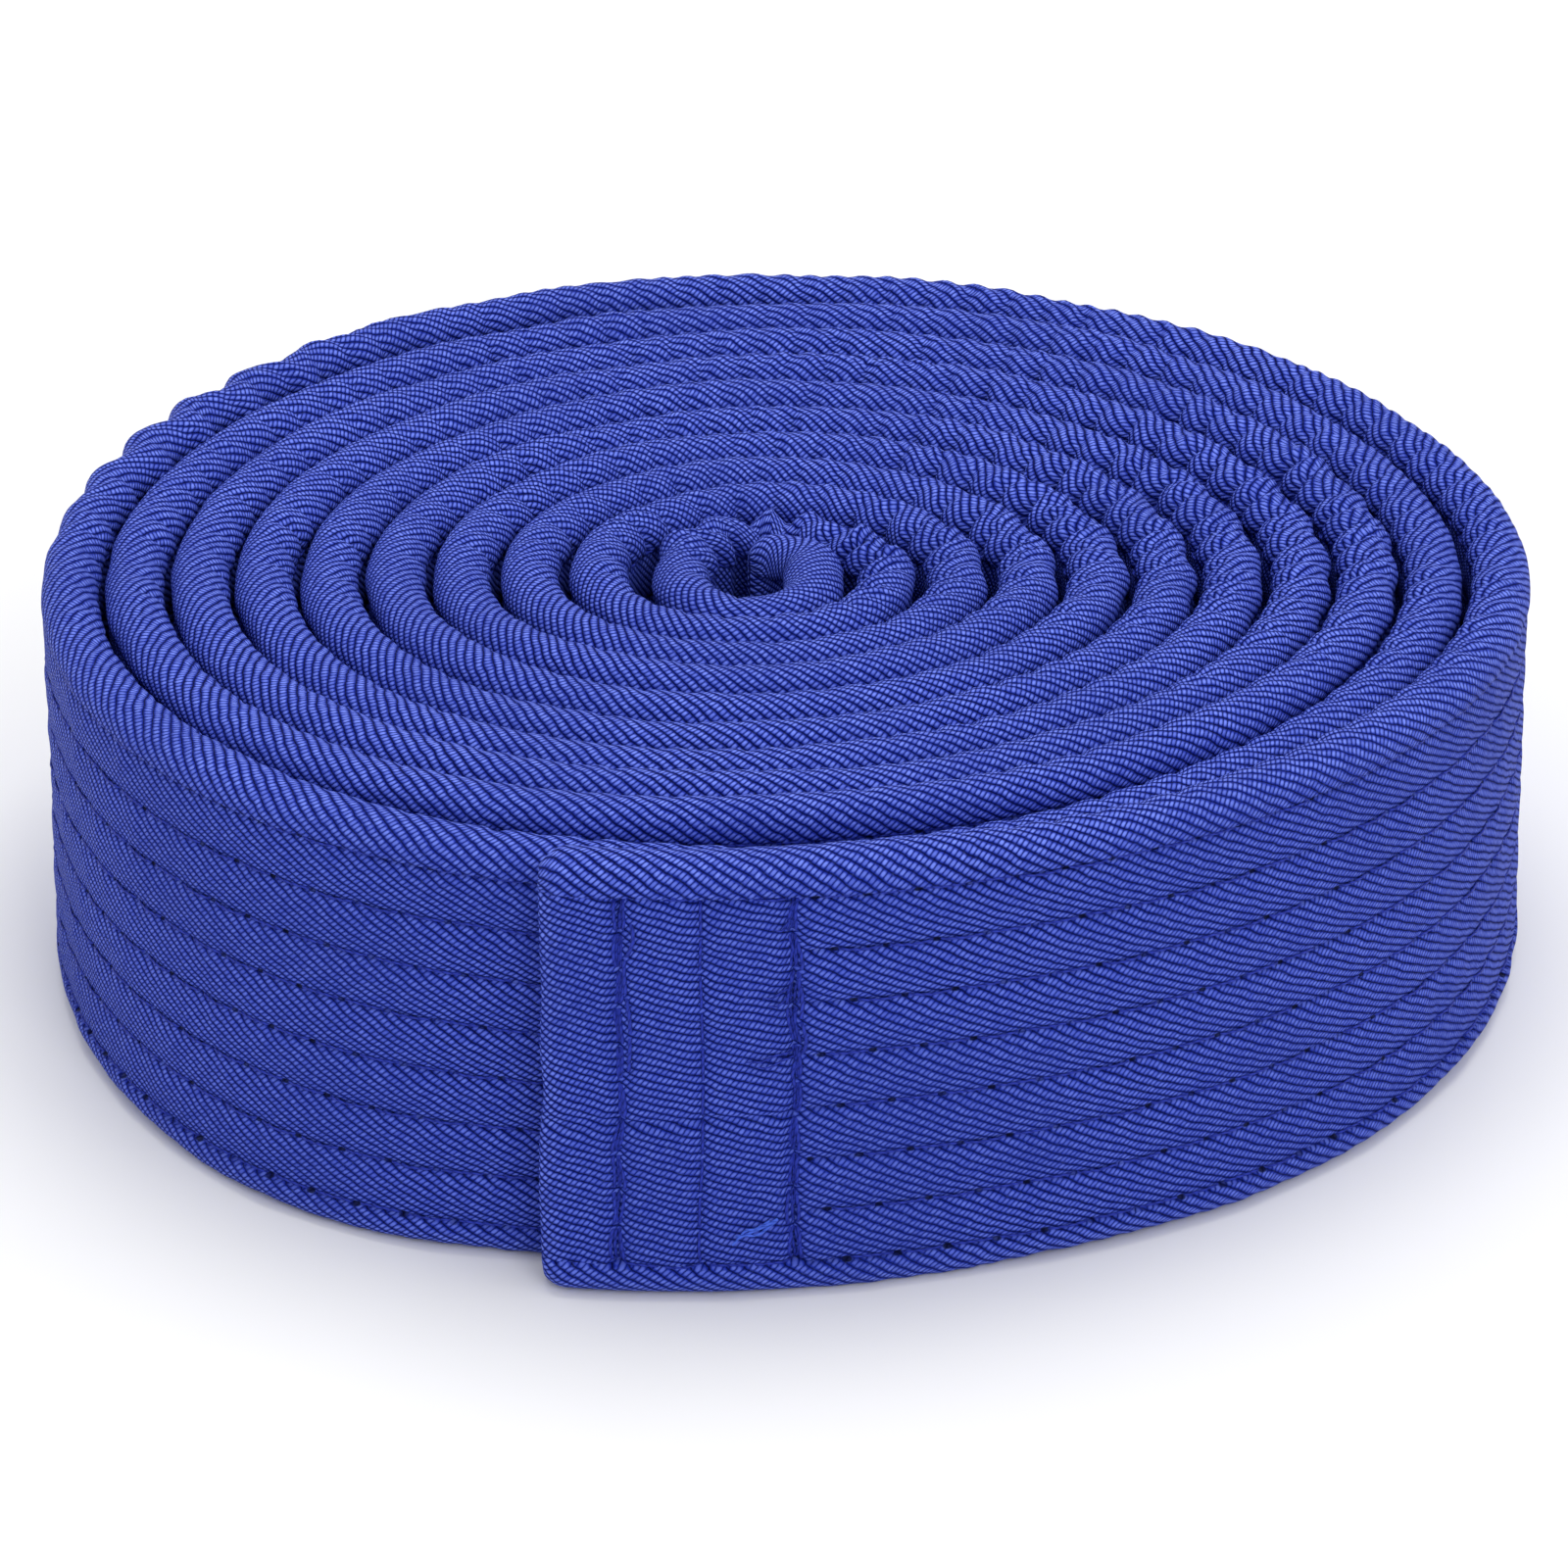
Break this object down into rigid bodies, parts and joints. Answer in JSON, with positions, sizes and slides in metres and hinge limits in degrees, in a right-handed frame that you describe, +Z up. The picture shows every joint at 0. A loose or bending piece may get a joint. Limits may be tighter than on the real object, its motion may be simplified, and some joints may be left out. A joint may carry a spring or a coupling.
{
  "type": "martial arts belt",
  "caption": "Quilted cloth martial arts belt, rolled up in a flat spiral and standing on its long edge, with a free outer end that peels away.",
  "frame": {"origin": "middle of the base, on the surface that the roll stands on", "axes": "+Z up, along the roll's own axis and across the belt's width; -Y is the front, where the box-stitched outer end lies, and +X is to the right of someone facing it"},
  "size_m": [0.1422, 0.144, 0.04],
  "materials": {
    "cover_twill": "royal blue cotton twill with a soft sheen",
    "core_cloth": "undyed cotton core cloth",
    "stitching_thread": "blue spun polyester sewing thread"
  },
  "bodies": {
    "roll": {"core_ply_inner_roll": "core_cloth", "core_ply_middle_roll": "core_cloth", "core_ply_outer_roll": "core_cloth", "cover_roll": "cover_twill", "inner_end_box_bobbin_thread": "stitching_thread", "inner_end_box_needle_thread": "stitching_thread", "row_1_bobbin_thread_roll": "stitching_thread", "row_1_needle_thread_roll": "stitching_thread", "row_2_bobbin_thread_roll": "stitching_thread", "row_2_needle_thread_roll": "stitching_thread", "row_3_bobbin_thread_roll": "stitching_thread", "row_3_needle_thread_roll": "stitching_thread", "row_4_bobbin_thread_roll": "stitching_thread", "row_4_needle_thread_roll": "stitching_thread", "row_5_bobbin_thread_roll": "stitching_thread", "row_5_needle_thread_roll": "stitching_thread", "row_6_bobbin_thread_roll": "stitching_thread", "row_6_needle_thread_roll": "stitching_thread", "row_7_bobbin_thread_roll": "stitching_thread", "row_7_needle_thread_roll": "stitching_thread", "row_8_bobbin_thread_roll": "stitching_thread", "row_8_needle_thread_roll": "stitching_thread"},
    "tail": {"core_ply_inner_tail": "core_cloth", "core_ply_middle_tail": "core_cloth", "core_ply_outer_tail": "core_cloth", "cover_tail": "cover_twill", "outer_end_box_bobbin_thread": "stitching_thread", "outer_end_box_needle_thread": "stitching_thread", "row_1_bobbin_thread_tail": "stitching_thread", "row_1_needle_thread_tail": "stitching_thread", "row_2_bobbin_thread_tail": "stitching_thread", "row_2_needle_thread_tail": "stitching_thread", "row_3_bobbin_thread_tail": "stitching_thread", "row_3_needle_thread_tail": "stitching_thread", "row_4_bobbin_thread_tail": "stitching_thread", "row_4_needle_thread_tail": "stitching_thread", "row_5_bobbin_thread_tail": "stitching_thread", "row_5_needle_thread_tail": "stitching_thread", "row_6_bobbin_thread_tail": "stitching_thread", "row_6_needle_thread_tail": "stitching_thread", "row_7_bobbin_thread_tail": "stitching_thread", "row_7_needle_thread_tail": "stitching_thread", "row_8_bobbin_thread_tail": "stitching_thread", "row_8_needle_thread_tail": "stitching_thread"}
  },
  "joints": [
    {"name": "tail_peel", "type": "hinge", "parent": "roll", "child": "tail", "pos_m": [0.04264, -0.05506, 0], "axis": [0, 0, 1], "range_deg": [0, 150]}
  ]
}
